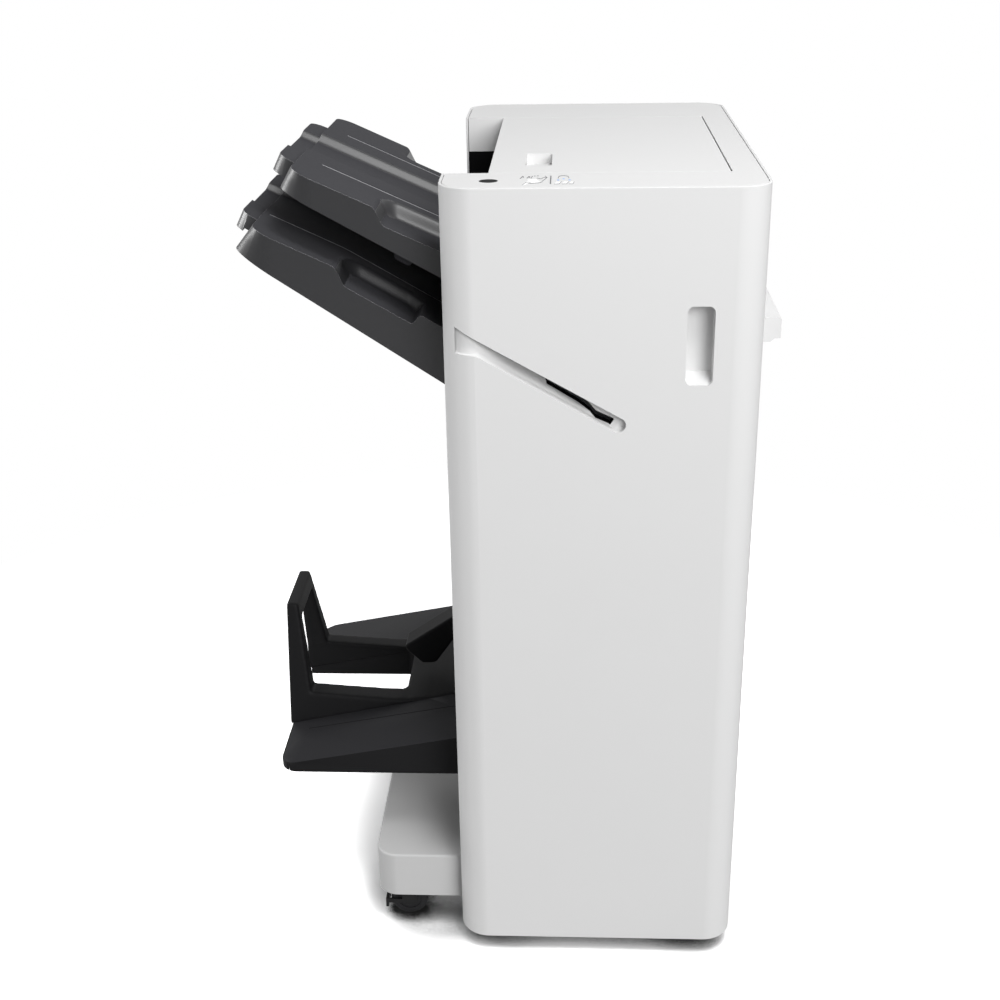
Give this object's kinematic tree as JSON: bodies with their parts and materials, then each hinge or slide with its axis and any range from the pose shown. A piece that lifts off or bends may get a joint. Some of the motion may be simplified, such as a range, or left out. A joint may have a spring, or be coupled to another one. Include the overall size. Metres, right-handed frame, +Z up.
{
  "type": "booklet maker",
  "caption": "Floor-standing booklet maker with a hinged front door, a top lid, two lifting output trays, a booklet tray with a leaning stop and a base on casters.",
  "frame": {"origin": "on the floor, under the centre of the whole object's box", "axes": "+X to the docking side that meets the copier, +Y from the front door to the back, +Z up"},
  "size_m": [0.682, 0.6438, 1.0906],
  "materials": {
    "casing_white": "satin white moulded ABS",
    "liner_black": "matt black moulded ABS",
    "tray_charcoal": "fine textured charcoal ABS",
    "booklet_black": "fine textured near-black ABS",
    "base_grey": "light grey moulded ABS",
    "window_black": "gloss black acrylic",
    "frame_steel": "zinc plated sheet steel",
    "shaft_steel": "ground steel shaft",
    "roller_rubber": "ground EPDM rubber",
    "caster_black": "black nylon",
    "caster_tyre": "black polyurethane tread",
    "bush_nylon": "natural acetal",
    "knob_green": "green moulded ABS",
    "module_grey": "dark grey moulded ABS",
    "board_green": "solder-masked glass epoxy"
  },
  "bodies": {
    "root": {"door_hinges": "shaft_steel", "top_cover": "casing_white", "status_window": "window_black", "left_front_cover": "casing_white", "left_rear_cover": "casing_white", "right_cover": "casing_white", "rear_cover": "casing_white", "delivery_cover": "liner_black", "docking_bar": "casing_white", "base_cover": "base_grey", "base_frame": "frame_steel", "front_side_plate": "frame_steel", "rear_side_plate": "frame_steel", "frame_stays": "frame_steel", "shaft_bushes": "bush_nylon", "lift_rails": "frame_steel", "booklet_tray": "booklet_black", "booklet_stop": "booklet_black", "flap_bracket": "frame_steel", "stapling_tray": "frame_steel", "stapler_rail": "frame_steel", "saddle_stitcher": "module_grey", "drive_motor": "frame_steel", "control_board": "board_green", "cover_screws": "shaft_steel"},
    "door": {"front_door": "casing_white", "handle_cup": "casing_white", "staple_slot_liner": "casing_white"},
    "lid": {"top_lid": "casing_white", "lid_hinge_pins": "shaft_steel"},
    "flap": {"booklet_flap": "booklet_black"},
    "fold_lower": {"fold_roller_lower": "roller_rubber", "fold_knob": "knob_green"},
    "fold_upper": {"fold_roller_upper": "roller_rubber"},
    "blade": {"fold_blade": "shaft_steel"},
    "jogger_front": {"front_jogger": "module_grey"},
    "jogger_rear": {"rear_jogger": "module_grey"},
    "stapler_carriage": {"stapler": "module_grey"},
    "upper_tray": {"upper_tray": "tray_charcoal", "upper_tray_floor": "tray_charcoal", "upper_tray_carriage": "frame_steel"},
    "upper_tray_slide": {"upper_tray_extension": "tray_charcoal"},
    "lower_tray": {"lower_tray": "tray_charcoal", "lower_tray_floor": "tray_charcoal", "lower_tray_carriage": "frame_steel"},
    "lower_tray_slide": {"lower_tray_extension": "tray_charcoal"},
    "entrance_drive": {"entrance_drive_roller": "roller_rubber"},
    "entrance_idler": {"entrance_idler_roller": "roller_rubber"},
    "upper_exit_drive": {"upper_exit_drive_roller": "roller_rubber"},
    "upper_exit_idler": {"upper_exit_idler_roller": "roller_rubber"},
    "main_exit_drive": {"main_exit_drive_roller": "roller_rubber"},
    "main_exit_idler": {"main_exit_idler_roller": "roller_rubber"},
    "fork_front_left": {"caster_fork_front_left": "caster_black"},
    "wheel_front_left": {"caster_wheel_front_left": "caster_tyre"},
    "fork_front_right": {"caster_fork_front_right": "caster_black"},
    "wheel_front_right": {"caster_wheel_front_right": "caster_tyre"},
    "fork_rear_left": {"caster_fork_rear_left": "caster_black"},
    "wheel_rear_left": {"caster_wheel_rear_left": "caster_tyre"},
    "fork_rear_right": {"caster_fork_rear_right": "caster_black"},
    "wheel_rear_right": {"caster_wheel_rear_right": "caster_tyre"}
  },
  "joints": [
    {"name": "door_hinge", "type": "hinge", "parent": "root", "child": "door", "pos_m": [-0.06645, -0.2754, 0.5535], "axis": [0, 0, -1], "range_deg": [0, 100]},
    {"name": "lid_hinge", "type": "hinge", "parent": "root", "child": "lid", "pos_m": [0.26855, -0.0229, 1.078], "axis": [0, 1, 0], "range_deg": [0, 75]},
    {"name": "upper_tray_lift", "type": "slide", "parent": "root", "child": "upper_tray", "axis": [0, 0, 1], "range_m": [-0.03, 0.01]},
    {"name": "upper_tray_extension_slide", "type": "slide", "parent": "upper_tray", "child": "upper_tray_slide", "axis": [-0.91, 0, 0.4146], "range_m": [0, 0.08]},
    {"name": "lower_tray_lift", "type": "slide", "parent": "root", "child": "lower_tray", "axis": [0, 0, 1], "range_m": [-0.26, 0]},
    {"name": "lower_tray_extension_slide", "type": "slide", "parent": "lower_tray", "child": "lower_tray_slide", "axis": [-0.9048, 0, 0.4258], "range_m": [0, 0.08]},
    {"name": "booklet_flap_hinge", "type": "hinge", "parent": "root", "child": "flap", "pos_m": [-0.02645, -0.0229, 0.428], "axis": [0, 1, 0], "range_deg": [0, 25]},
    {"name": "entrance_drive_spin", "type": "hinge", "parent": "root", "child": "entrance_drive", "pos_m": [0.28155, -0.0229, 0.87475], "axis": [0, 1, 0], "continuous": true},
    {"name": "entrance_idler_spin", "type": "hinge", "parent": "root", "child": "entrance_idler", "pos_m": [0.28155, -0.0229, 0.89475], "axis": [0, 1, 0], "continuous": true},
    {"name": "upper_exit_drive_spin", "type": "hinge", "parent": "root", "child": "upper_exit_drive", "pos_m": [0.02355, -0.0229, 1.00375], "axis": [0, 1, 0], "continuous": true},
    {"name": "upper_exit_idler_spin", "type": "hinge", "parent": "root", "child": "upper_exit_idler", "pos_m": [0.02355, -0.0229, 1.02375], "axis": [0, 1, 0], "continuous": true},
    {"name": "main_exit_drive_spin", "type": "hinge", "parent": "root", "child": "main_exit_drive", "pos_m": [0.02355, -0.0229, 0.88575], "axis": [0, 1, 0], "continuous": true},
    {"name": "main_exit_idler_spin", "type": "hinge", "parent": "root", "child": "main_exit_idler", "pos_m": [0.02355, -0.0229, 0.90575], "axis": [0, 1, 0], "continuous": true},
    {"name": "fold_lower_spin", "type": "hinge", "parent": "root", "child": "fold_lower", "pos_m": [0.07155, -0.0229, 0.32175], "axis": [0, 1, 0], "continuous": true},
    {"name": "fold_upper_spin", "type": "hinge", "parent": "root", "child": "fold_upper", "pos_m": [0.07155, -0.0229, 0.35825], "axis": [0, 1, 0], "continuous": true},
    {"name": "fold_blade_slide", "type": "slide", "parent": "root", "child": "blade", "axis": [-1, 0, 0], "range_m": [0, 0.016]},
    {"name": "front_jogger_slide", "type": "slide", "parent": "root", "child": "jogger_front", "axis": [0, 1, 0], "range_m": [0, 0.035]},
    {"name": "rear_jogger_slide", "type": "slide", "parent": "root", "child": "jogger_rear", "axis": [0, 1, 0], "range_m": [-0.035, 0]},
    {"name": "stapler_slide", "type": "slide", "parent": "root", "child": "stapler_carriage", "axis": [0, 1, 0], "range_m": [0, 0.3]},
    {"name": "caster_swivel_front_left", "type": "hinge", "parent": "root", "child": "fork_front_left", "pos_m": [-0.13445, -0.2339, 0.065], "axis": [0, 0, 1], "continuous": true},
    {"name": "caster_spin_front_left", "type": "hinge", "parent": "fork_front_left", "child": "wheel_front_left", "pos_m": [-0.14945, -0.2339, 0.027], "axis": [0, 1, 0], "continuous": true},
    {"name": "caster_swivel_front_right", "type": "hinge", "parent": "root", "child": "fork_front_right", "pos_m": [0.24955, -0.2339, 0.065], "axis": [0, 0, 1], "continuous": true},
    {"name": "caster_spin_front_right", "type": "hinge", "parent": "fork_front_right", "child": "wheel_front_right", "pos_m": [0.23455, -0.2339, 0.027], "axis": [0, 1, 0], "continuous": true},
    {"name": "caster_swivel_rear_left", "type": "hinge", "parent": "root", "child": "fork_rear_left", "pos_m": [-0.13445, 0.2321, 0.065], "axis": [0, 0, 1], "continuous": true},
    {"name": "caster_spin_rear_left", "type": "hinge", "parent": "fork_rear_left", "child": "wheel_rear_left", "pos_m": [-0.14945, 0.2321, 0.027], "axis": [0, 1, 0], "continuous": true},
    {"name": "caster_swivel_rear_right", "type": "hinge", "parent": "root", "child": "fork_rear_right", "pos_m": [0.24955, 0.2321, 0.065], "axis": [0, 0, 1], "continuous": true},
    {"name": "caster_spin_rear_right", "type": "hinge", "parent": "fork_rear_right", "child": "wheel_rear_right", "pos_m": [0.23455, 0.2321, 0.027], "axis": [0, 1, 0], "continuous": true}
  ],
  "couplings": [
    {"joint": "entrance_idler_spin", "follows": "entrance_drive_spin", "ratio": -1.2941},
    {"joint": "upper_exit_idler_spin", "follows": "upper_exit_drive_spin", "ratio": -1.2941},
    {"joint": "main_exit_idler_spin", "follows": "main_exit_drive_spin", "ratio": -1.2941},
    {"joint": "fold_upper_spin", "follows": "fold_lower_spin", "ratio": -1},
    {"joint": "rear_jogger_slide", "follows": "front_jogger_slide", "ratio": -1}
  ]
}
